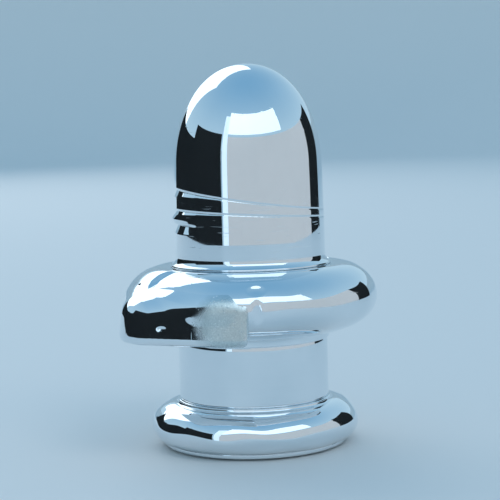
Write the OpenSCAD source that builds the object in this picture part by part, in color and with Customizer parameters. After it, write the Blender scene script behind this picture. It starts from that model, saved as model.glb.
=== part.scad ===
// Ring-collared lingam ornament: a domed pillar standing in a round collar with a short spout,
// on a neck and a turned foot. The polished pieces are stacked and drawn together by a hidden tie rod.
// Units are millimetres. +Z is up, the origin is the centre of the resting face, the spout points along -X.

/* [Pillar] */
// Height from the resting face to the tip of the dome
total_h = 100; // [96:1:106]
// Height at which the straight pillar ends and the dome begins
dome_z = 73.4; // [72:0.2:76]
// Radius of the pillar where the dome begins
pillar_top_r = 19.4; // [19:0.1:19.8]
// Radius of the pillar just above its foot flare
pillar_base_r = 19.75; // [19.7:0.05:20.2]
// Radius of the foot flare where the pillar meets the collar
flare_r = 21.3; // [20.8:0.1:22]
// Height of the foot flare
flare_h = 2.6; // [2:0.1:4]
// Wall thickness of the hollow pillar
pillar_wall = 3.4; // [3:0.1:4]

/* [Line grooves] */
// Heading of the side where the grooves are deepest, counted from +X
groove_heading = 145; // [120:5:180]
// Radius of the tool that cuts the two long grooves
groove_tool_r = 0.9; // [0.6:0.05:1]
// Depth of the long grooves on their deepest side
groove_depth = 0.9; // [0.6:0.05:1]
// Depth of the long grooves on the opposite side, where they are fine lines
line_depth = 0.3; // [0.25:0.05:0.4]
// Radius of the tool that cuts the short notch
notch_tool_r = 1.6; // [1:0.1:1.8]
// Depth of the short notch
notch_depth = 0.9; // [0.4:0.05:1]
// Height of the upper groove at the pillar's axis
upper_groove_z = 64.7; // [63:0.1:66]
// Tilt of the upper groove, rising towards its deepest side
upper_groove_tilt = 8.5; // [4:0.5:10]
// Height of the middle groove at the pillar's axis
middle_groove_z = 60.9; // [60:0.1:62]
// Tilt of the middle groove
middle_groove_tilt = 3.9; // [0:0.1:6]
// Turn of the middle groove's high point from the grooves' deepest side
middle_groove_turn = 25; // [0:5:40]
// Height of the short lower notch
lower_notch_z = 56.6; // [55:0.1:58]

/* [Collar] */
// Height of the rim's underside above the resting face
collar_z = 30.25; // [30:0.05:31]
// Height of the rim
collar_h = 17.2; // [16.6:0.1:17.8]
// Height of the short boss below the rim, which stands on the neck
boss_h = 2.2; // [1.8:0.1:2.6]
// Radius of the boss at its lower edge
boss_r = 20.3; // [20.1:0.05:20.6]
// Largest radius of the collar
collar_r = 33.15; // [32:0.05:34]
// Height of the widest level above the collar's underside
collar_belly_h = 8.54; // [8:0.02:9.2]
// Radius of the flat top that the pillar stands on
collar_top_r = 23.1; // [22.5:0.1:24]
// Radius of the collar's bore
bore_r = 16; // [15:0.5:16]

/* [Spout] */
// Reach of the spout's tip from the pillar's axis
spout_reach = 38.8; // [38:0.1:40]
// Distance of each flank from the pillar's axis
flank_dist = 34.1; // [33.6:0.1:34.6]
// Heading of each flank's outward normal, counted from the spout's direction
flank_heading = 34; // [30:1:36]
// Angle either side of the spout's direction over which its saddle wraps the collar
saddle_angle = 53; // [48:1:58]
// Height of the spout's body above the collar's underside
spout_h = 12.2; // [11.5:0.1:12.6]
// Drop of the spout's top from the collar to the tip
spout_drop = 1.5; // [0.5:0.1:2.5]
// Rounding of the tip's upper and lower edges
tip_round = 3; // [2:0.5:4]
// Width of the drain channel along the spout
channel_w = 3.6; // [3:0.1:3.8]

/* [Neck] */
// Outer radius of the neck sleeve
neck_r = 19.8; // [19.6:0.05:20]
// Radius of the eased edges at the neck's ends
neck_ease = 0.8; // [0.5:0.1:1.2]

/* [Foot] */
// Height of the foot's top above the resting face
foot_top_z = 12.4; // [12.2:0.1:12.8]
// Height of the fine lip round the foot's top
lip_h = 1; // [0.6:0.1:1.2]
// Radius of the fine lip
lip_r = 20.3; // [20.1:0.05:20.6]
// Largest radius of the foot
foot_r = 27.15; // [26.5:0.05:28]
// Height of the widest level above the resting face
foot_belly_z = 5.4; // [5.2:0.1:5.8]
// Radius at which the foot's rounded top meets the lip
foot_neck_r = 20.8; // [20.6:0.1:21.2]
// Radius of the cover disc that closes the foot
cover_r = 24.2; // [23.8:0.1:24.4]
// Thickness of the cover disc
cover_t = 1.2; // [1.1:0.1:1.4]

/* [Fastening] */
// Radius of the M6 tie rod
rod_r = 3; // [2.5:0.5:3]
// Clearance of the rod in the foot's web
rod_clearance = 0.3; // [0.2:0.05:0.5]
// Width across the flats of the nut
nut_af = 10; // [9:0.5:11]
// Height of the thin nut
nut_h = 3.2; // [3:0.1:3.2]
// Outer radius of the washer
washer_r = 6; // [6:0.1:6.4]
// Thickness of the washer
washer_t = 1.2; // [1:0.1:1.2]

/* [Hidden] */
$fn = 96;

steel = "lightsteelblue";
collar_top_z = collar_z + collar_h;
belly_z = collar_z + collar_belly_h;
boss_z = collar_z - boss_h;
rim_inner_r = 21;
lip_z = foot_top_z - lip_h;
cover_z = 0.4;
cover_top_z = cover_z + cover_t;
cover_edge = 0.3;
notch_run_out = 5;
pad_r = 22;
pad_t = 1;
pad_gap = 0.1;
web_z = 7.2;
recess_r = 17;
spigot_gap = 0.05;
spigot_r = bore_r - spigot_gap;
spigot_h = 2;
spigot_wall = 2.5;
// the anchor sits in the collar's bore and fills the foot of the pillar's bore
pillar_bore_r = bore_r + 0.2;
anchor_drop = 3;
anchor_rise = 6.5;
rod_stub = 0.4;
rod_end_gap = 1;
rod_bottom_z = web_z - washer_t - nut_h - rod_stub;
rod_top_z = collar_top_z + anchor_rise - rod_end_gap;
// shape of the flare's edge and of the knee above it
flare_edge_h = 0.5;
flare_knee_w = 0.4;
flare_knee_h = 1.2;
dome_swell = 0.58;
dome_crown = 0.554;
curve_steps = 16;
// the drain channel's straight cutter
channel_tilt = 22;
channel_x = -24;
channel_lift = 0.9;
channel_length = 30;
// reach of the saddle's end planes, start of the beak, and how far behind its flanks the top dips
saddle_ray = 50;
beak_root = 20;
tip_run = 4;
// how far a cutter runs past the face that it cuts
over = 1;

// One quarter of an ellipse about (cx, cz), from angle a0 to a1
function quarter(cx, cz, rx, rz, a0, a1) =
    [for (i = [0 : curve_steps]) let (a = a0 + (a1 - a0) * i / curve_steps)
        [cx + rx * cos(a), cz + rz * sin(a)]];

// A point on the dome's curve, from its foot at t = 0 to its tip at t = 1
function dome_point(r, z0, z1, t) =
    let (u = 1 - t, h = z1 - z0)
    [u * u * u * r + 3 * u * u * t * r + 3 * u * t * t * r * dome_crown,
     u * u * u * z0 + 3 * u * u * t * (z0 + h * dome_swell) + 3 * u * t * t * z1 + t * t * t * z1];

function dome_curve(r, z0, z1) =
    [for (i = [0 : curve_steps]) dome_point(r, z0, z1, i / curve_steps)];

// Outline of the whole pillar, solid to the axis
module pillar_outline() {
    polygon(concat(
        [[0, collar_top_z], [flare_r, collar_top_z], [flare_r, collar_top_z + flare_edge_h]],
        [[pillar_base_r + flare_knee_w, collar_top_z + flare_knee_h],
         [pillar_base_r, collar_top_z + flare_h]],
        dome_curve(pillar_top_r, dome_z, total_h)));
}

// A ring cutter. It cuts to depth deep on the side of the groove heading and to depth shallow on
// the other, where a negative depth leaves the pillar whole. It is tilted so that it rises towards
// the groove heading plus turn.
module groove_cutter(z, tilt, turn, tool_r, deep, shallow) {
    path_r = pillar_base_r + tool_r - (deep + shallow) / 2;
    rotate([0, 0, groove_heading])
        translate([(shallow - deep) / 2, 0, z])
            rotate([0, -tilt, turn])
                rotate_extrude()
                    translate([path_r, 0])
                        circle(r = tool_r, $fn = 24);
}

module pillar() {
    color(steel) difference() {
        rotate_extrude() pillar_outline();
        // hollow inside
        rotate_extrude()
            polygon(concat(
                [[0, collar_top_z - over], [pillar_bore_r, collar_top_z - over]],
                dome_curve(pillar_bore_r, dome_z, total_h - pillar_wall)));
        groove_cutter(upper_groove_z, upper_groove_tilt, 0, groove_tool_r, groove_depth, line_depth);
        groove_cutter(middle_groove_z, middle_groove_tilt, middle_groove_turn, groove_tool_r,
                      groove_depth, line_depth);
        // the short notch runs out part of the way round
        groove_cutter(lower_notch_z, 0, 0, notch_tool_r, notch_depth, -notch_run_out);
    }
}

module pillar_anchor() {
    color("slategray") difference() {
        union() {
            translate([0, 0, collar_top_z - anchor_drop])
                cylinder(r = spigot_r, h = anchor_drop);
            translate([0, 0, collar_top_z])
                cylinder(r = pillar_bore_r, h = anchor_rise);
        }
        translate([0, 0, collar_top_z - anchor_drop - over])
            cylinder(r = rod_r, h = anchor_drop + anchor_rise + 2 * over);
    }
}

// The collar's outer form, solid to the axis
module collar_outline() {
    polygon(concat(
        [[0, boss_z], [boss_r, boss_z]],
        quarter(rim_inner_r, belly_z, collar_r - rim_inner_r, collar_belly_h, -90, 0),
        quarter(collar_top_r, belly_z, collar_r - collar_top_r, collar_h - collar_belly_h, 0, 90),
        [[0, collar_top_z]]));
}

// Straight cutter for the drain channel, which runs down over the collar and along the spout
module channel_cutter() {
    translate([channel_x, 0, collar_top_z + channel_lift])
        rotate([0, -90 - channel_tilt, 0])
            cylinder(r = channel_w / 2, h = channel_length);
}

module collar() {
    color(steel) difference() {
        rotate_extrude() collar_outline();
        translate([0, 0, boss_z - over])
            cylinder(r = bore_r, h = boss_h + collar_h + 2 * over);
        channel_cutter();
    }
}

// Plan of the spout: a saddle round the collar and a blunt beak between its two flanks
module spout_plan() {
    tip_w = (flank_dist - spout_reach * cos(flank_heading)) / sin(flank_heading);
    root = [-flank_dist * cos(flank_heading), flank_dist * sin(flank_heading)];
    intersection() {
        circle(r = flank_dist);
        polygon([[0, 0],
                 for (a = [-saddle_angle, -saddle_angle / 2, 0, saddle_angle / 2, saddle_angle])
                     [-saddle_ray * cos(a), saddle_ray * sin(a)]]);
    }
    polygon([[-beak_root, 0], root, [-spout_reach, tip_w], [-spout_reach, -tip_w], [root[0], -root[1]]]);
}

// Side view of the spout, with a rounded tip, drawn with X along its length and Y upwards
module spout_side() {
    top_z = collar_z + spout_h;
    tip_z = top_z - spout_drop;
    polygon(concat(
        [[0, collar_z], [0, top_z], [-flank_dist + tip_run, top_z]],
        quarter(-spout_reach + tip_round, tip_z - tip_round, tip_round, tip_round, 90, 180),
        quarter(-spout_reach + tip_round, collar_z + tip_round, tip_round, tip_round, 180, 270)));
}

module spout() {
    color(steel) difference() {
        intersection() {
            translate([0, 0, collar_z]) linear_extrude(spout_h) spout_plan();
            rotate([90, 0, 0]) linear_extrude(2 * saddle_ray, center = true) spout_side();
        }
        rotate_extrude() collar_outline();
        channel_cutter();
    }
}

module neck_sleeve() {
    spigots_h = boss_z - foot_top_z + 2 * spigot_h;
    color(steel) difference() {
        union() {
            rotate_extrude()
                polygon([[0, foot_top_z], [neck_r - neck_ease / 2, foot_top_z],
                         [neck_r, foot_top_z + neck_ease], [neck_r, boss_z - neck_ease],
                         [neck_r - neck_ease / 2, boss_z], [0, boss_z]]);
            translate([0, 0, foot_top_z - spigot_h])
                cylinder(r = spigot_r, h = spigots_h);
        }
        translate([0, 0, foot_top_z - spigot_h - over])
            cylinder(r = bore_r - spigot_wall, h = spigots_h + 2 * over);
    }
}

module foot() {
    color(steel) difference() {
        rotate_extrude()
            polygon(concat(
                [[0, cover_top_z]],
                quarter(cover_r, foot_belly_z, foot_r - cover_r, foot_belly_z - cover_top_z, -90, 0),
                quarter(foot_neck_r, foot_belly_z, foot_r - foot_neck_r, lip_z - foot_belly_z, 0, 90),
                [[lip_r, foot_top_z], [0, foot_top_z]]));
        // seat of the neck's spigot
        translate([0, 0, foot_top_z - spigot_h])
            cylinder(r = bore_r, h = spigot_h + over);
        // recess for the nut
        translate([0, 0, cover_top_z - over])
            cylinder(r = recess_r, h = web_z - cover_top_z + over);
        cylinder(r = rod_r + rod_clearance, h = foot_top_z);
    }
}

module tie_rod() {
    color("dimgray") translate([0, 0, rod_bottom_z]) cylinder(r = rod_r, h = rod_top_z - rod_bottom_z);
}

module washer() {
    color("silver") translate([0, 0, web_z - washer_t]) difference() {
        cylinder(r = washer_r, h = washer_t);
        translate([0, 0, -over]) cylinder(r = rod_r + rod_clearance, h = washer_t + 2 * over);
    }
}

module nut() {
    color("silver") translate([0, 0, web_z - washer_t - nut_h]) difference() {
        cylinder(r = nut_af / sqrt(3), h = nut_h, $fn = 6);
        translate([0, 0, -over]) cylinder(r = rod_r, h = nut_h + 2 * over);
    }
}

module cover_disc() {
    color(steel) difference() {
        rotate_extrude()
            polygon([[0, cover_z], [cover_r - cover_edge, cover_z], [cover_r, cover_z + cover_edge],
                     [cover_r, cover_top_z - cover_edge], [cover_r - cover_edge, cover_top_z],
                     [0, cover_top_z]]);
        translate([0, 0, cover_z - over]) cylinder(r = pad_r + pad_gap, h = pad_t - cover_z + over);
    }
}

module felt_pad() {
    color("dimgray") cylinder(r = pad_r, h = pad_t);
}

pillar();
pillar_anchor();
collar();
spout();
neck_sleeve();
foot();
tie_rod();
washer();
nut();
cover_disc();
felt_pad();
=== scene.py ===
"""Looks for the polished lingam ornament: pieces rebuilt as fine meshes, materials, camera, studio."""
import math

import bpy
import numpy as np
from mathutils import Matrix, Vector


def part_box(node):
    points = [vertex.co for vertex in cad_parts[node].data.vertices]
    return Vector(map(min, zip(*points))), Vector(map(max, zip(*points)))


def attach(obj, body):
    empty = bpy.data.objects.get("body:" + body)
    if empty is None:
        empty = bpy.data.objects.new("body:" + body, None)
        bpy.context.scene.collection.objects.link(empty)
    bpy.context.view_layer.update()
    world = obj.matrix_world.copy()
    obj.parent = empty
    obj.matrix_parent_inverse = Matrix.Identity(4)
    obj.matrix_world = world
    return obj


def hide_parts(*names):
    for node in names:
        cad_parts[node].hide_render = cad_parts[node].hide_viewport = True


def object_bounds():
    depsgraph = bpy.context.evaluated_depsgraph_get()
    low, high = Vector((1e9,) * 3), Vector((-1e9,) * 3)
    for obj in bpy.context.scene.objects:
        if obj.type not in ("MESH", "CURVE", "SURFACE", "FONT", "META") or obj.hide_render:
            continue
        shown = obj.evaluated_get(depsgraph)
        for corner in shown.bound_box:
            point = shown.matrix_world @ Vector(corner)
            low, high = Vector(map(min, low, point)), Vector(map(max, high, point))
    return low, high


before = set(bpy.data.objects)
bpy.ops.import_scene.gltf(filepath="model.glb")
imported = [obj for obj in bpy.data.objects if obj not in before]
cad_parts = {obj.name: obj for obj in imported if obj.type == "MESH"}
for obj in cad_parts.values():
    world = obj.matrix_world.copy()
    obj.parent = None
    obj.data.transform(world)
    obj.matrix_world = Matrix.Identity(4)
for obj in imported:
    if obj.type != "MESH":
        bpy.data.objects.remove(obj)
cad_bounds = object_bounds()
scene = bpy.context.scene
MM = 0.001
TAU = 2 * math.pi


# ---------------------------------------------------------------- camera
VIEW_TURN = math.radians(35)        # the camera stands this far round from -Y towards the spout
VIEW_DISTANCE = 0.3920              # from the pillar's axis, level
VIEW_SIDESTEP = -0.0001
VIEW_HEIGHT = 0.88 * cad_bounds[1].z
VIEW_PITCH = 0.094                  # looking down, radians
VIEW_ROLL = 0.0287
LENS = 107.27
SENSOR = 36.0

view_right = Vector((math.cos(VIEW_TURN), -math.sin(VIEW_TURN), 0))
view_away = Vector((math.sin(VIEW_TURN), math.cos(VIEW_TURN), 0))
UP = Vector((0, 0, 1))


def make_camera():
    data = bpy.data.cameras.new("camera")
    data.lens = LENS
    data.sensor_width = SENSOR
    data.clip_start = 0.01
    data.clip_end = 20
    cam = bpy.data.objects.new("camera", data)
    scene.collection.objects.link(cam)
    forward = view_away * math.cos(VIEW_PITCH) - UP * math.sin(VIEW_PITCH)
    level_up = view_away * math.sin(VIEW_PITCH) + UP * math.cos(VIEW_PITCH)
    right = view_right * math.cos(VIEW_ROLL) - level_up * math.sin(VIEW_ROLL)
    up = view_right * math.sin(VIEW_ROLL) + level_up * math.cos(VIEW_ROLL)
    turn = Matrix((right, up, -forward)).transposed().to_4x4()
    place = view_right * VIEW_SIDESTEP - view_away * VIEW_DISTANCE + UP * VIEW_HEIGHT
    cam.matrix_world = Matrix.Translation(place) @ turn
    scene.camera = cam


make_camera()


# ---------------------------------------------------------------- sizes, in mm, read from the frame
def low_z(node):
    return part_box(node)[0].z / MM


def top_z(node):
    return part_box(node)[1].z / MM


def reach(node):
    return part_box(node)[1].x / MM


TIP_Z = top_z("pillar")
COLLAR_TOP = top_z("collar")
BOSS_Z = low_z("collar")
COLLAR_Z = low_z("spout")
COLLAR_R = reach("collar")
NECK_R = reach("neck_sleeve")
FOOT_R = reach("foot")
FOOT_TOP = top_z("foot")
FOOT_LOW = low_z("foot")
COVER_R = reach("cover_disc")
COVER_LOW = low_z("cover_disc")
COVER_TOP = top_z("cover_disc")
PAD_R = reach("felt_pad")
PAD_TOP = top_z("felt_pad")
FLARE_R = reach("pillar")
SPOUT_REACH = -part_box("spout")[0].x / MM
SPOUT_TOP = top_z("spout")

# sizes that a box can't give
BORE_R = 16.0
PILLAR_BORE_R = 16.2
PILLAR_WALL = 3.4
BELLY_Z = COLLAR_Z + 8.54
COLLAR_FLAT_R = 23.1
RIM_INNER_R = 21.0
BOSS_R = 20.3
DOME_Z = 73.4
DOME_R = 19.38
PILLAR_R = 19.73
FLARE_H = 2.6
NECK_BORE_R = 13.45
SPIGOT_R = 15.95
SPIGOT_H = 2.0
FOOT_BELLY = 5.4
FOOT_NECK_R = 20.8
LIP_H = 1.0
LIP_R = 20.3
GROOVE_SIDE = math.radians(145)     # heading where the grooves are deepest, from +X
GROOVE_TURN = math.radians(25)      # turn of the middle groove's high point from that side


# ---------------------------------------------------------------- outlines (r, z) in mm
def ellipse(cx, cz, rx, rz, a0, a1, n):
    a = np.radians(np.linspace(a0, a1, n))
    return np.column_stack([cx + rx * np.cos(a), cz + rz * np.sin(a)])


def line(p, q, n):
    return np.linspace(p, q, n)


SHOULDER = 0.58                     # how far up the dome's first control point lies
BROW = 0.554                        # how far out its second one lies


def dome(r, z0, z1, n):
    """A cubic curve from a vertical side to a level top."""
    t = np.linspace(0, 1, n)
    u = 1 - t
    return np.column_stack([
        u ** 3 * r + 3 * u * u * t * r + 3 * u * t * t * r * BROW,
        u ** 3 * z0 + 3 * u * u * t * (z0 + SHOULDER * (z1 - z0)) + 3 * u * t * t * z1 + t ** 3 * z1,
    ])


def joined(*parts):
    path = [np.asarray(parts[0], float)]
    for part in parts[1:]:
        part = np.asarray(part, float)
        path.append(part[1:] if np.allclose(part[0], path[-1][-1]) else part)
    return np.vstack(path)


def smooth(x, a, b):
    t = np.clip((x - a) / (b - a), 0, 1)
    return t * t * (3 - 2 * t)


# ---------------------------------------------------------------- mesh building
def new_object(name, verts, faces):
    mesh = bpy.data.meshes.new(name)
    mesh.from_pydata((np.asarray(verts) * MM).tolist(), [], faces)
    mesh.validate()
    mesh.shade_smooth()
    obj = bpy.data.objects.new(name, mesh)
    scene.collection.objects.link(obj)
    return obj


def turned(name, outline, segments, shape=None, closed=False):
    """A turned piece. shape(heading, r, z) may change r and z round the piece. An open outline
    starts and ends on the axis, and runs so that the outside lies to its right going up."""
    heading = np.arange(segments) * TAU / segments
    h, r = np.meshgrid(heading, outline[:, 0])
    z = np.repeat(outline[:, 1:2], segments, axis=1)
    if not closed:
        r[0] = r[-1] = 0
    verts = np.stack([r * np.cos(h), r * np.sin(h), z], -1)
    if shape:
        verts = shape(h, r, z)
    rows = len(outline)
    verts = verts.reshape(-1, 3)
    faces = []
    for j in range(rows if closed else rows - 1):
        k = (j + 1) % rows
        for i in range(segments):
            n = (i + 1) % segments
            faces.append((j * segments + i, j * segments + n, k * segments + n, k * segments + i))
    if closed:
        return new_object(name, verts, faces)
    # one shared point at each end on the axis
    first, last = 0, (rows - 1) * segments
    fixed = []
    for face in faces:
        corners = [first if v < segments else last if v >= last else v for v in face]
        fixed.append([v for n, v in enumerate(corners) if v != corners[n - 1]])
    keep = np.ones(len(verts), bool)
    keep[1:segments] = False
    keep[last + 1:] = False
    index = np.cumsum(keep) - 1
    return new_object(name, verts[keep], [tuple(int(index[v]) for v in face) for face in fixed])


# ---------------------------------------------------------------- materials
class Nodes:
    """Small helper to lay out a material's nodes."""

    def __init__(self, name):
        self.mat = bpy.data.materials.new(name)
        self.mat.use_nodes = True
        self.tree = self.mat.node_tree
        self.shader = self.tree.nodes["Principled BSDF"]

    def feed(self, socket, value):
        if isinstance(value, bpy.types.NodeSocket):
            self.tree.links.new(value, socket)
        else:
            socket.default_value = value

    def math(self, operation, *values):
        node = self.tree.nodes.new("ShaderNodeMath")
        node.operation = operation
        for socket, value in zip(node.inputs, values):
            self.feed(socket, value)
        return node.outputs[0]

    def ramp(self, fac, *stops):
        node = self.tree.nodes.new("ShaderNodeValToRGB")
        self.feed(node.inputs[0], fac)
        band = node.color_ramp
        while len(band.elements) < len(stops):
            band.elements.new(0.5)
        for element, (at, colour) in zip(band.elements, stops):
            element.position = at
            element.color = (*colour, 1)
        return node.outputs[0]

    def mask(self, fac, low, high):
        return self.ramp(fac, (low, grey(0)), (high, grey(1)))

    def blend(self, fac, low, high):
        node = self.tree.nodes.new("ShaderNodeMix")
        node.data_type = "RGBA"
        self.feed(node.inputs["Factor"], fac)
        self.feed(node.inputs[6], low)
        self.feed(node.inputs[7], high)
        return node.outputs[2]

    def noise(self, place, scale, detail=3, rough=0.5):
        node = self.tree.nodes.new("ShaderNodeTexNoise")
        self.feed(node.inputs["Vector"], place)
        node.inputs["Scale"].default_value = scale
        node.inputs["Detail"].default_value = detail
        node.inputs["Roughness"].default_value = rough
        return node.outputs[0]

    def cells(self, place, scale):
        node = self.tree.nodes.new("ShaderNodeTexVoronoi")
        self.feed(node.inputs["Vector"], place)
        node.inputs["Scale"].default_value = scale
        return node.outputs["Distance"]

    def place(self):
        return self.tree.nodes.new("ShaderNodeTexCoord").outputs["Object"]

    def stretched(self, place, scale, turn=(0, 0, 0)):
        node = self.tree.nodes.new("ShaderNodeMapping")
        self.feed(node.inputs["Vector"], place)
        node.inputs["Scale"].default_value = scale
        node.inputs["Rotation"].default_value = turn
        return node.outputs[0]

    def distance(self, place, point):
        node = self.tree.nodes.new("ShaderNodeVectorMath")
        node.operation = "DISTANCE"
        self.feed(node.inputs[0], place)
        node.inputs[1].default_value = point
        return node.outputs["Value"]

    def bump(self, height, strength, distance, under=None):
        node = self.tree.nodes.new("ShaderNodeBump")
        self.feed(node.inputs["Height"], height)
        node.inputs["Strength"].default_value = strength
        node.inputs["Distance"].default_value = distance
        if under:
            self.feed(node.inputs["Normal"], under)
        return node.outputs[0]


def grey(v):
    return (v, v, v)


def metal_layers(n, place):
    """Colour, roughness and normal of the mirror polish: faint smears and fine scratches."""
    colour = n.ramp(n.noise(place, 60, 4), (0.3, (0.80, 0.85, 0.88)), (0.7, (0.86, 0.90, 0.93)))
    upright = n.noise(n.stretched(place, (900, 900, 60), (0.5, 0.3, 0)), 1.0, 2)
    level = n.noise(n.stretched(place, (120, 120, 2200), (0.2, 0, 0.4)), 1.0, 2)
    scratch = n.math("MAXIMUM", n.mask(upright, 0.64, 0.74), n.mask(level, 0.66, 0.76))
    smear = n.mask(n.noise(place, 140, 5, 0.6), 0.5, 0.8)
    rough = n.math("ADD", n.math("MULTIPLY", scratch, 0.06), n.math("MULTIPLY", smear, 0.06))
    rough = n.math("ADD", rough, 0.018)
    return colour, rough, n.bump(scratch, 0.04, 0.0001)


def polished_metal():
    n = Nodes("polished_metal")
    colour, rough, normal = metal_layers(n, n.place())
    s = n.shader
    s.inputs["Metallic"].default_value = 1.0
    n.feed(s.inputs["Base Color"], colour)
    n.feed(s.inputs["Roughness"], rough)
    n.feed(s.inputs["Normal"], normal)
    return n.mat


def worn_metal(centre, size):
    """The same metal with a dull, pitted satin patch about a point."""
    n = Nodes("worn_metal")
    place = n.place()
    colour, rough, normal = metal_layers(n, place)
    uneven_edge = n.math("MULTIPLY", n.noise(place, 300, 4), 0.3 * size)
    share = n.math("DIVIDE", n.math("ADD", n.distance(place, centre), uneven_edge), 2 * size)
    patch = n.math("SUBTRACT", 1.0, n.mask(share, 0.38, 0.60))
    mottle = n.noise(place, 2600, 5, 0.65)
    satin = n.ramp(mottle, (0.35, (0.36, 0.46, 0.47)), (0.60, (0.50, 0.60, 0.60)), (0.72, (0.85, 0.92, 0.92)))
    speck = n.math("MULTIPLY", patch, n.math("SUBTRACT", 1.0, n.mask(n.cells(place, 1100), 0.08, 0.2)))
    s = n.shader
    s.inputs["Metallic"].default_value = 1.0
    n.feed(s.inputs["Base Color"], n.blend(n.math("MULTIPLY", patch, 0.7), colour, satin))
    n.feed(s.inputs["Roughness"], n.math("ADD", rough, n.math("MULTIPLY", patch, 0.30)))
    dulled = n.bump(n.math("MULTIPLY", patch, mottle), 0.15, 0.0001, normal)
    n.feed(s.inputs["Normal"], n.bump(speck, 0.5, 0.0002, dulled))
    return n.mat


def turned_steel():
    n = Nodes("turned_steel")
    rings = n.noise(n.stretched(n.place(), (1, 1, 900)), 3.0, 3)
    s = n.shader
    s.inputs["Metallic"].default_value = 1.0
    n.feed(s.inputs["Base Color"], n.ramp(rings, (0.3, (0.36, 0.37, 0.38)), (0.7, (0.58, 0.59, 0.60))))
    n.feed(s.inputs["Roughness"], n.math("ADD", n.math("MULTIPLY", rings, 0.25), 0.25))
    return n.mat


def felt():
    n = Nodes("felt")
    place = n.place()
    fibre = n.noise(n.stretched(place, (1, 1, 1), (0, 0, 0.6)), 1800, 4, 0.7)
    tuft = n.noise(place, 400, 3)
    s = n.shader
    n.feed(s.inputs["Base Color"], n.ramp(n.math("MULTIPLY", n.math("ADD", fibre, tuft), 0.5),
                                          (0.35, (0.02, 0.022, 0.026)), (0.7, (0.09, 0.10, 0.11))))
    s.inputs["Roughness"].default_value = 0.95
    s.inputs["Sheen Weight"].default_value = 0.3
    n.feed(s.inputs["Normal"], n.bump(fibre, 0.6, 0.0003))
    return n.mat


def dress(obj, material, slot, *nodes):
    obj.data.materials.clear()
    obj.data.materials.append(material)
    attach(obj, "root")
    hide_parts(*nodes)


metal = polished_metal()
steel = turned_steel()
felt_cloth = felt()


# ---------------------------------------------------------------- pillar
UPPER_Z, UPPER_RISE = 64.7, 2.95    # upper groove: height at the axis, rise towards its deep side
MIDDLE_Z, MIDDLE_RISE = 60.9, 1.35
FINE_CUT = 0.09                     # depth of both grooves where they are fine lines
UPPER_MORE, MIDDLE_MORE = 0.66, 0.46        # what the deep side adds to that
NOTCH_Z, NOTCH_CUT = 58.5, 0.9
NOTCH_LIP, NOTCH_TALL = 0.25, 2.1   # height of its steep upper side and of its slope
BEAD_Z, BEAD_PROUD, BEAD_HALF = 60.1, 0.7, 0.8
CUTS_TOP, CUTS_R = 72, 18.5         # the cuts reach only points lower and further out than this
BAND_LOW, BAND_HIGH = 54, 70        # the part of the shaft that has rows close enough for the cuts
SHAFT_TAPER = 0.25
FLARE_EDGE, FLARE_EDGE_H = 0.3, 0.35
FLARE_LEDGE, FLARE_DROP = 0.1, 0.55


def notch(t, above, below):
    """Cross-section of a cut: steep on its upper side, an even slope on its lower side."""
    return np.where(t > 0, np.exp(-np.square(t / above)), np.clip(1 + t / below, 0, 1))


def facing(heading, centre, power):
    return ((1 + np.cos(heading - centre)) / 2) ** power


def pillar_shape(h, r, z):
    """Two line grooves, deep and broad on one side and fine on the other, a bead and a notch."""
    near = facing(h, GROOVE_SIDE, 7)
    upper = UPPER_Z + UPPER_RISE * np.cos(h - GROOVE_SIDE)
    middle = MIDDLE_Z + MIDDLE_RISE * np.cos(h - GROOVE_SIDE - GROOVE_TURN)
    cut = (FINE_CUT + UPPER_MORE * near) * notch(z - upper, 0.18 + 0.2 * near, 0.36 + 1.4 * near)
    cut += (FINE_CUT + MIDDLE_MORE * near) * notch(z - middle, 0.18 + 0.1 * near, 0.34 + 0.8 * near)
    short = smooth(np.cos(h - GROOVE_SIDE), 0.70, 0.84)
    cut += NOTCH_CUT * short * notch(z - NOTCH_Z, NOTCH_LIP, NOTCH_TALL)
    bead = BEAD_PROUD * facing(h, GROOVE_SIDE, 40) * np.exp(-np.square((z - BEAD_Z) / BEAD_HALF))
    outside = (z < CUTS_TOP) & (r > CUTS_R)
    r = r + np.where(outside, bead - cut, 0)
    return np.stack([r * np.cos(h), r * np.sin(h), z], -1)


def make_pillar():
    knee = COLLAR_TOP + FLARE_H
    flare = joined(
        ellipse(FLARE_R - FLARE_EDGE, COLLAR_TOP + FLARE_EDGE_H, FLARE_EDGE, FLARE_EDGE_H, -90, 70, 10),
        ellipse(FLARE_R - FLARE_LEDGE, knee, FLARE_R - FLARE_LEDGE - PILLAR_R, FLARE_H - FLARE_DROP,
                -92, -180, 24))
    outline = joined(
        dome(PILLAR_BORE_R, DOME_Z, TIP_Z - PILLAR_WALL, 18)[::-1],
        line((PILLAR_BORE_R, DOME_Z), (PILLAR_BORE_R, COLLAR_TOP), 6),
        line((PILLAR_BORE_R, COLLAR_TOP), (FLARE_R - FLARE_EDGE, COLLAR_TOP), 6), flare,
        line((PILLAR_R, knee), (PILLAR_R, BAND_LOW), 8),
        line((PILLAR_R, BAND_LOW), (PILLAR_R - SHAFT_TAPER, BAND_HIGH), 160),
        line((PILLAR_R - SHAFT_TAPER, BAND_HIGH), (DOME_R, DOME_Z), 8), dome(DOME_R, DOME_Z, TIP_Z, 70))
    dress(turned("pillar_polished", outline, 320, pillar_shape), metal, "polished_metal", "pillar")


# ---------------------------------------------------------------- drain channel and dents
CHANNEL_TILT = math.radians(22)     # the channel runs down along -X
CHANNEL_X = -24.0
CHANNEL_LIFT = 0.9
CHANNEL_R = 1.8
BANK_SLOPE = 3                      # steepness of the channel's banks past its round bottom
CHANNEL_EASE = 0.3                  # rounding where a bank meets the face
DENT_REACH = 3.0                    # how far along its push a dent is felt
DENT_RIM = 1.25                     # over 1, so the rim is a little rounded


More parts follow.
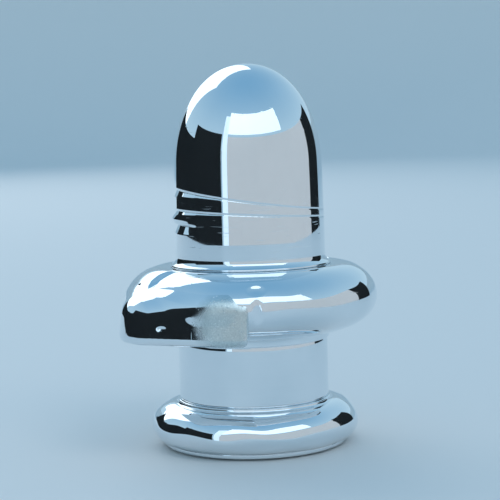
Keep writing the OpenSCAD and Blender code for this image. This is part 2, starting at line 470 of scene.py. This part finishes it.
def dent(points, heading, r, z, facing, slope, half_long, half_tall, depth):
    """Presses an oval bowl in at a place, against the way the face there looks."""
    heading, facing, slope = math.radians(heading), math.radians(facing), math.radians(slope)
    out = np.array((math.cos(facing) * math.cos(slope), math.sin(facing) * math.cos(slope),
                    math.sin(slope)))
    level = np.array((-math.sin(facing), math.cos(facing), 0))
    rise = np.cross(out, level)
    offset = points - np.array((r * math.cos(heading), r * math.sin(heading), z))
    away = np.sqrt((offset @ level / half_long) ** 2 + (offset @ rise / half_tall) ** 2
                   + (offset @ out / DENT_REACH) ** 2)
    bowl = np.clip(1 - away ** 2, 0, 1) ** DENT_RIM
    return points - (depth * bowl)[..., None] * out


def dented(points):
    """The pit in the collar's upper face, the pocket by the saddle's end and the flank's nick."""
    points = dent(points, heading=237, r=31.1, z=44.0, facing=237, slope=41,
                  half_long=2.5, half_tall=1.7, depth=0.5)
    points = dent(points, heading=237, r=33.1, z=38.7, facing=237, slope=0,
                  half_long=1.4, half_tall=3.5, depth=0.6)
    return dent(points, heading=196, r=35.8, z=34.6, facing=214, slope=8,
                half_long=1.4, half_tall=0.7, depth=0.15)


def carved(points):
    """Presses the drain channel into points on the upper faces."""
    x, y, z = points[..., 0], points[..., 1], points[..., 2]
    dx, dz = x - CHANNEL_X, z - COLLAR_TOP - CHANNEL_LIFT
    over = -dx * math.sin(CHANNEL_TILT) + dz * math.cos(CHANNEL_TILT)
    along = -dx * math.cos(CHANNEL_TILT) - dz * math.sin(CHANNEL_TILT)
    y_in = np.minimum(np.abs(y), CHANNEL_R)
    trough = -np.sqrt(CHANNEL_R ** 2 - y_in ** 2) + BANK_SLOPE * (np.abs(y) - y_in)
    reachable = (over > -4) & (over < 3) & (along > -1)
    # a rounded minimum of the surface and the trough
    gap = np.maximum(CHANNEL_EASE - np.abs(over - trough), 0)
    carved_over = np.minimum(over, trough) - gap * gap / (4 * CHANNEL_EASE)
    fade = smooth(along, -0.4, 0.5)
    step = np.where(reachable, (carved_over - over) * fade, 0)
    x = x - step * math.sin(CHANNEL_TILT)
    z = z + step * math.cos(CHANNEL_TILT)
    return np.stack([x, y, z], -1)


# ---------------------------------------------------------------- collar
COLLAR_RIPPLE = 0.06
FOOT_RIPPLE = 0.12
BOSS_EDGE, BOSS_EDGE_H = 0.25, 0.3


def ripple(points, height):
    """Slow unevenness of the surface. The pattern is made up, and its height is given."""
    x, y, z = points[..., 0], points[..., 1], points[..., 2]
    wave = np.sin(0.43 * x + 0.9 * np.sin(0.21 * y + 1)) + np.sin(0.51 * y + 1.1 * np.sin(0.27 * x))
    wave += 0.8 * np.sin(0.62 * z + 0.25 * x - 0.3 * y)
    return height * wave


def uneven(h, r, z, height):
    """Moves an outer surface in and out by the ripple."""
    points = np.stack([r * np.cos(h), r * np.sin(h), z], -1)
    r = r + ripple(points, height) * smooth(r, 21, 24)
    return np.stack([r * np.cos(h), r * np.sin(h), z], -1)


def collar_shape(h, r, z):
    points = uneven(h, r, z, COLLAR_RIPPLE)
    on_top = (z > BELLY_Z) & (r > BORE_R + 4)
    return dented(np.where(on_top[..., None], carved(points), points))


def make_collar():
    lower = ellipse(RIM_INNER_R, BELLY_Z, COLLAR_R - RIM_INNER_R, BELLY_Z - COLLAR_Z, -90, 0, 60)
    upper = ellipse(COLLAR_FLAT_R, BELLY_Z, COLLAR_R - COLLAR_FLAT_R, COLLAR_TOP - BELLY_Z, 0, 90, 80)
    boss = joined(
        ellipse(BOSS_R - BOSS_EDGE, BOSS_Z + BOSS_EDGE_H, BOSS_EDGE, BOSS_EDGE_H, -90, 0, 8),
        ellipse(RIM_INNER_R + 0.1, BOSS_Z + BOSS_EDGE_H, RIM_INNER_R + 0.1 - BOSS_R,
                COLLAR_Z - BOSS_Z - BOSS_EDGE_H, -180, -270, 14))
    outline = joined(
        line((BORE_R, BOSS_Z), (BOSS_R - BOSS_EDGE, BOSS_Z), 6), boss, lower, upper,
        line((COLLAR_FLAT_R, COLLAR_TOP), (BORE_R, COLLAR_TOP), 8),
        line((BORE_R, COLLAR_TOP), (BORE_R, BOSS_Z), 8)[:-1])
    collar = turned("collar_polished", outline, 512, collar_shape, closed=True)
    dress(collar, metal, "polished_metal", "collar")


# ---------------------------------------------------------------- spout
FLANK_DIST = 34.1
FLANK_TURN = math.radians(34)       # heading of a flank's normal from the spout's direction
SADDLE_END = math.radians(53)
FLANK_LEAN = math.radians(8)        # the flanks face up a little
SECTION_R, SECTION_Z = 25.5, 37.5   # the point that each cross-section is swept about
EDGE_ROUND = 2.0
TOP_ROUND = 3.6
FILLET = 1.8                        # where the spout's top runs into the collar
END_FILLET = 0.25                   # the same at the saddle's end, where there is a crease
CREASE_TURN = math.radians(9)       # how far before that end the fillet starts to tighten
SKIN_GAP = 0.03                     # how far the feathered edge lies under the collar's face
SKIN_THICK = 0.3                    # thickness of that edge
SIDE_CROWN = 0.004                  # how quickly the sides fall away above and below their middle
TIP_BACK = 0.2                      # keeps the leaning tip inside the CAD's reach
END_ROUND = 0.5                     # rounding of the saddle's end
DROP_R, DROP_RUN = 33.5, 5.0        # the top starts to fall at this radius, over this length
SKIN_PAST_END = 0.12                # how far the skin runs on past the saddle's end, radians
PATCH_UP = 6.0                      # height of the satin patch's middle above the spout's underside
PATCH_SIZE = 0.0085


def round_and(a, b, radius):
    """Distance to where two solids overlap, with the shared edge rounded."""
    u, v = np.maximum(radius + a, 0), np.maximum(radius + b, 0)
    return np.minimum(-radius, np.maximum(a, b)) + np.hypot(u, v)


def soft_or(a, b, radius):
    """Distance to two solids joined with a fillet."""
    u, v = np.maximum(radius - a, 0), np.maximum(radius - b, 0)
    return np.maximum(radius, np.minimum(a, b)) - np.hypot(u, v)


def collar_distance(r, z):
    low = z < BELLY_Z
    cx = np.where(low, RIM_INNER_R, COLLAR_FLAT_R)
    rx = COLLAR_R - cx
    rz = np.where(low, BELLY_Z - COLLAR_Z, COLLAR_TOP - BELLY_Z)
    x, y = np.maximum(r - cx, 0) / rx, (z - BELLY_Z) / rz
    k0 = np.hypot(x, y)
    k1 = np.hypot(x / rx, y / rz) + 1e-9
    return k0 * (k0 - 1) / k1


def spout_distance(turn, r, z):
    """turn is the heading from the spout's direction."""
    away, side = r * np.cos(turn), r * np.abs(np.sin(turn))
    lean = (z - COLLAR_Z - 4) * math.tan(FLANK_LEAN) + SIDE_CROWN * (z - SECTION_Z) ** 2
    tip = away - SPOUT_REACH + TIP_BACK + lean
    flank = away * math.cos(FLANK_TURN) + side * math.sin(FLANK_TURN) - FLANK_DIST + lean
    # the flank meets the saddle at a tangent, so the two run together
    saddle = r - FLANK_DIST + lean
    plan = np.where(np.abs(turn) < FLANK_TURN, round_and(tip, flank, EDGE_ROUND), saddle)
    end = (np.abs(turn) - SADDLE_END) * FLANK_DIST
    plan = round_and(plan, end, END_ROUND)
    drop = np.clip((r - DROP_R) / DROP_RUN, 0, 1)
    top = z - (SPOUT_TOP - EDGE_ROUND * drop)
    return round_and(round_and(plan, top, TOP_ROUND), COLLAR_Z - z, EDGE_ROUND)


def section(t, a, distance):
    """Finds, by halving, how far the skin lies from the middle of each section."""
    lo, hi = np.full_like(t, 2.0), np.full_like(t, 22.0)
    for _ in range(34):
        mid = (lo + hi) / 2
        inside = distance(t, SECTION_R + mid * np.cos(a), SECTION_Z + mid * np.sin(a)) < 0
        lo, hi = np.where(inside, mid, lo), np.where(inside, hi, mid)
    r, z = SECTION_R + lo * np.cos(a), SECTION_Z + lo * np.sin(a)
    near_collar = 1 - smooth(collar_distance(r, z), 0.2, 1.6)
    points = uneven(t + math.pi, r, z, COLLAR_RIPPLE * near_collar)
    return dented(np.where((z > BELLY_Z)[..., None], carved(points), points))


def make_spout():
    """A saddle and beak. The inner face follows the collar's, and dips under it near the edges."""
    turns = np.linspace(-SADDLE_END - SKIN_PAST_END, SADDLE_END + SKIN_PAST_END, 281)
    angles = np.radians(np.linspace(-118, 72, 160))
    t, a = np.meshgrid(turns, angles)
    tight = smooth(np.abs(t), SADDLE_END - CREASE_TURN, SADDLE_END - CREASE_TURN / 3)
    fillet = FILLET + (END_FILLET - FILLET) * tight
    outer = section(t, a, lambda t, r, z: soft_or(
        collar_distance(r, z) + SKIN_GAP, spout_distance(t, r, z), fillet))
    proud = collar_distance(np.hypot(outer[..., 0], outer[..., 1]), outer[..., 2])
    dip = (SKIN_GAP + SKIN_THICK) * (1 - smooth(proud, 0.3, 0.8))
    inner = section(t, a, lambda t, r, z: collar_distance(r, z) + dip)
    verts = np.vstack([outer.reshape(-1, 3), inner[::-1].reshape(-1, 3)])
    n, m = len(turns), 2 * len(angles)
    faces = [(j * n + i, j * n + i + 1, (j + 1) % m * n + i + 1, (j + 1) % m * n + i)
             for j in range(m) for i in range(n - 1)]
    for j in range(len(angles) - 1):
        k = m - 1 - j
        faces.append((j * n, (j + 1) * n, (k - 1) * n, k * n))
        faces.append((j * n + n - 1, k * n + n - 1, (k - 1) * n + n - 1, (j + 1) * n + n - 1))
    # the satin patch covers the saddle between the flank's root and the saddle's end
    middle = math.pi + (FLANK_TURN + SADDLE_END) / 2
    patch = (FLANK_DIST * MM * math.cos(middle), FLANK_DIST * MM * math.sin(middle),
             (COLLAR_Z + PATCH_UP) * MM)
    spout = new_object("spout_polished", verts, faces)
    dress(spout, worn_metal(patch, PATCH_SIZE), "polished_metal", "spout")


# ---------------------------------------------------------------- neck
def neck_shape(h, r, z):
    """Faint turning lines on the outside."""
    lines = 0.006 * np.sin(TAU * z / 3.1) + 0.004 * np.sin(TAU * z / 1.3)
    clear = smooth(z, FOOT_TOP + 1, FOOT_TOP + 2) * (1 - smooth(z, BOSS_Z - 2.5, BOSS_Z - 1.5))
    r = r - np.where(r > NECK_R - 1, (0.01 + lines) * clear, 0)
    return np.stack([r * np.cos(h), r * np.sin(h), z], -1)


def make_neck():
    """A sleeve with a spigot at each end. Its upper edge is eased in a long curve, its lower in a short."""
    ease, low_ease = 1.4, 0.7
    t = np.linspace(0, 1, 24)
    top = np.column_stack([NECK_R - 0.16 * t ** 2.2, BOSS_Z - ease + ease * t])
    low, high = FOOT_TOP - SPIGOT_H, BOSS_Z + SPIGOT_H
    outline = joined(
        line((NECK_BORE_R, low), (SPIGOT_R, low), 4), line((SPIGOT_R, low), (SPIGOT_R, FOOT_TOP), 4),
        line((SPIGOT_R, FOOT_TOP), (NECK_R - 0.3, FOOT_TOP), 6),
        ellipse(NECK_R - 0.3, FOOT_TOP + low_ease, 0.3, low_ease, -90, 0, 10),
        line((NECK_R, FOOT_TOP + low_ease), (NECK_R, BOSS_Z - ease), 120), top,
        line(top[-1], (SPIGOT_R, BOSS_Z), 6), line((SPIGOT_R, BOSS_Z), (SPIGOT_R, high), 4),
        line((SPIGOT_R, high), (NECK_BORE_R, high), 4),
        line((NECK_BORE_R, high), (NECK_BORE_R, low), 8)[:-1])
    neck = turned("neck_polished", outline, 320, neck_shape, closed=True)
    dress(neck, metal, "polished_metal", "neck_sleeve")


# ---------------------------------------------------------------- foot, cover and pad
def foot_shape(h, r, z):
    return uneven(h, r, z, FOOT_RIPPLE)


def make_foot():
    recess, web, hole, lip_edge, lip_edge_h = 17.0, 7.2, 3.3, 0.3, 0.35
    seat = FOOT_TOP - SPIGOT_H
    lip_z = FOOT_TOP - LIP_H
    outline = joined(
        line((hole, web), (recess, web), 5), line((recess, web), (recess, FOOT_LOW), 6),
        line((recess, FOOT_LOW), (COVER_R, FOOT_LOW), 6),
        ellipse(COVER_R, FOOT_BELLY, FOOT_R - COVER_R, FOOT_BELLY - FOOT_LOW, -90, 0, 40),
        ellipse(FOOT_NECK_R, FOOT_BELLY, FOOT_R - FOOT_NECK_R, lip_z - FOOT_BELLY, 0, 90, 50),
        ellipse(LIP_R - lip_edge, FOOT_TOP - lip_edge_h, 0.4, lip_edge_h, -10, 90, 12),
        line((LIP_R - lip_edge, FOOT_TOP), (BORE_R, FOOT_TOP), 8),
        line((BORE_R, FOOT_TOP), (BORE_R, seat), 4),
        line((BORE_R, seat), (hole, seat), 8), line((hole, seat), (hole, web), 4)[:-1])
    dress(turned("foot_polished", outline, 384, foot_shape, closed=True), metal, "polished_metal", "foot")


def make_cover():
    """A thin disc with rounded edges and a shallow seat for the pad."""
    edge, seat_r = 0.3, PAD_R + 0.1
    outline = joined(
        [(0, PAD_TOP)], line((0, PAD_TOP), (seat_r, PAD_TOP), 12),
        line((seat_r, PAD_TOP), (seat_r, COVER_LOW), 4),
        line((seat_r, COVER_LOW), (COVER_R - edge, COVER_LOW), 4),
        ellipse(COVER_R - edge, COVER_LOW + edge, edge, edge, -90, 0, 8),
        ellipse(COVER_R - edge, COVER_TOP - edge, edge, edge, 0, 90, 8),
        line((COVER_R - edge, COVER_TOP), (0, COVER_TOP), 12))
    dress(turned("cover_polished", outline, 256), metal, "polished_metal", "cover_disc")


def make_pad():
    """A felt disc whose edge bulges and frays a little."""
    half, edge = PAD_TOP / 2, 0.4

    def frayed(h, r, z):
        rim = smooth(r, PAD_R - 1.5, PAD_R)
        r = r - rim * (0.05 + 0.03 * np.sin(h * 37) + 0.02 * np.sin(h * 91 + 1))
        return np.stack([r * np.cos(h), r * np.sin(h), z], -1)

    outline = joined(
        line((0, 0), (PAD_R - edge, 0), 14), ellipse(PAD_R - edge, half, edge, half, -90, 90, 12),
        line((PAD_R - edge, PAD_TOP), (0, PAD_TOP), 14))
    dress(turned("pad_felt", outline, 256, frayed), felt_cloth, "felt", "felt_pad")


make_pillar()
make_collar()
make_spout()
make_neck()
make_foot()
make_cover()
make_pad()

for node in ("pillar_anchor", "tie_rod", "washer", "nut"):
    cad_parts[node].data.materials.clear()
    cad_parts[node].data.materials.append(steel)


# ---------------------------------------------------------------- studio
def flat_material(name, colour, rough=0.7, glow=0.0):
    n = Nodes(name)
    s = n.shader
    s.inputs["Base Color"].default_value = (*colour, 1)
    s.inputs["Roughness"].default_value = rough
    if glow:
        s.inputs["Emission Color"].default_value = (*colour, 1)
        s.inputs["Emission Strength"].default_value = glow
    return n.mat


def aim(azimuth):
    """Level direction from the axis; 0 is towards the camera and positive is to its right."""
    a = math.radians(azimuth)
    return view_right * math.sin(a) - view_away * math.cos(a)


CARD_R = 0.85


def card(name, material, az0, az1, low, high, columns=24):
    """A plain curved card of one tone, as a studio sets round polished metal. It is hidden from the
    camera, from shadows and from diffuse light. Heights are in metres."""
    verts, faces = [], []
    for i in range(columns + 1):
        place = aim(az0 + (az1 - az0) * i / columns) * CARD_R
        verts += [(place.x, place.y, low), (place.x, place.y, high)]
    for i in range(columns):
        faces.append((2 * i, 2 * i + 2, 2 * i + 3, 2 * i + 1))
    obj = new_object(name, np.array(verts) / MM, faces)
    obj.data.materials.append(material)
    obj.visible_camera = False
    obj.visible_shadow = False
    obj.visible_diffuse = False


black = flat_material("card_black", grey(0.008), 0.9)
card("card_black_left", black, -95, -42, 0.0, 0.45, 40)
card("card_black_back", black, -150, -95, 0.0, 0.30, 40)
card("card_black_right", black, 108, 135, 0.0, 0.42)
card("card_white", flat_material("card_white", (0.80, 0.88, 0.92), 0.9, 0.55), -40, -32, 0.0, 0.80)
card("card_grey", flat_material("card_grey", (0.50, 0.48, 0.47), 0.9, 0.55), -32, 108, 0.0, 0.42, 60)
card("card_soft", flat_material("card_soft", (0.90, 0.95, 0.97), 0.9, 0.70), -32, 60, 0.46, 0.92, 40)

FLOOR_LOW = 0.00005                 # keeps the floor just clear of the pad's face


def make_floor():
    """A pale round floor that sweeps up into a low wall."""
    segments, flat_r, bend = 96, 2.2, 0.6
    profile = [(r, -FLOOR_LOW) for r in (0.3, 0.9, 1.6, flat_r)]
    profile += [(flat_r + bend * math.sin(a), bend - bend * math.cos(a) - FLOOR_LOW)
                for a in np.linspace(0, math.pi / 2, 12)[1:]]
    verts = [(0, 0, -FLOOR_LOW)]
    for r, z in profile:
        verts += [(r * math.cos(TAU * i / segments), r * math.sin(TAU * i / segments), z)
                  for i in range(segments)]
    faces = [(0, 1 + i, 1 + (i + 1) % segments) for i in range(segments)]
    for j in range(len(profile) - 1):
        for i in range(segments):
            n = (i + 1) % segments
            a, b = 1 + j * segments, 1 + (j + 1) * segments
            faces.append((a + i, b + i, b + n, a + n))
    obj = new_object("floor", np.array(verts) / MM, faces)
    obj.data.materials.append(flat_material("floor_pale", (0.82, 0.80, 0.78)))


make_floor()


def make_world():
    """Soft light all round, a little deeper overhead."""
    world = bpy.data.worlds.new("soft_light")
    world.use_nodes = True
    scene.world = world
    tree = world.node_tree
    coord = tree.nodes.new("ShaderNodeTexCoord")
    split = tree.nodes.new("ShaderNodeSeparateXYZ")
    tree.links.new(coord.outputs["Generated"], split.inputs[0])
    ramp = tree.nodes.new("ShaderNodeValToRGB")
    tree.links.new(split.outputs["Z"], ramp.inputs[0])
    ramp.color_ramp.elements[0].color = (0.56, 0.76, 0.88, 1)
    ramp.color_ramp.elements[1].color = (0.20, 0.42, 0.64, 1)
    tree.links.new(ramp.outputs[0], tree.nodes["Background"].inputs["Color"])


make_world()


def area_light(name, azimuth, elevation, distance, size, power):
    data = bpy.data.lights.new(name, "AREA")
    data.size = size
    data.energy = power
    obj = bpy.data.objects.new(name, data)
    e = math.radians(elevation)
    direction = aim(azimuth) * math.cos(e) + UP * math.sin(e)
    obj.location = UP * 0.05 + direction * distance
    obj.rotation_mode = "QUATERNION"
    obj.rotation_quaternion = direction.to_track_quat("Z", "Y")
    scene.collection.objects.link(obj)
    return obj


area_light("softbox_back_left", -152, 36, 1.7, 1.4, 6)
area_light("softbox_front_right", 40, 50, 1.6, 0.7, 3).visible_glossy = False

scene.view_settings.view_transform = "Standard"
scene.view_settings.look = "None"
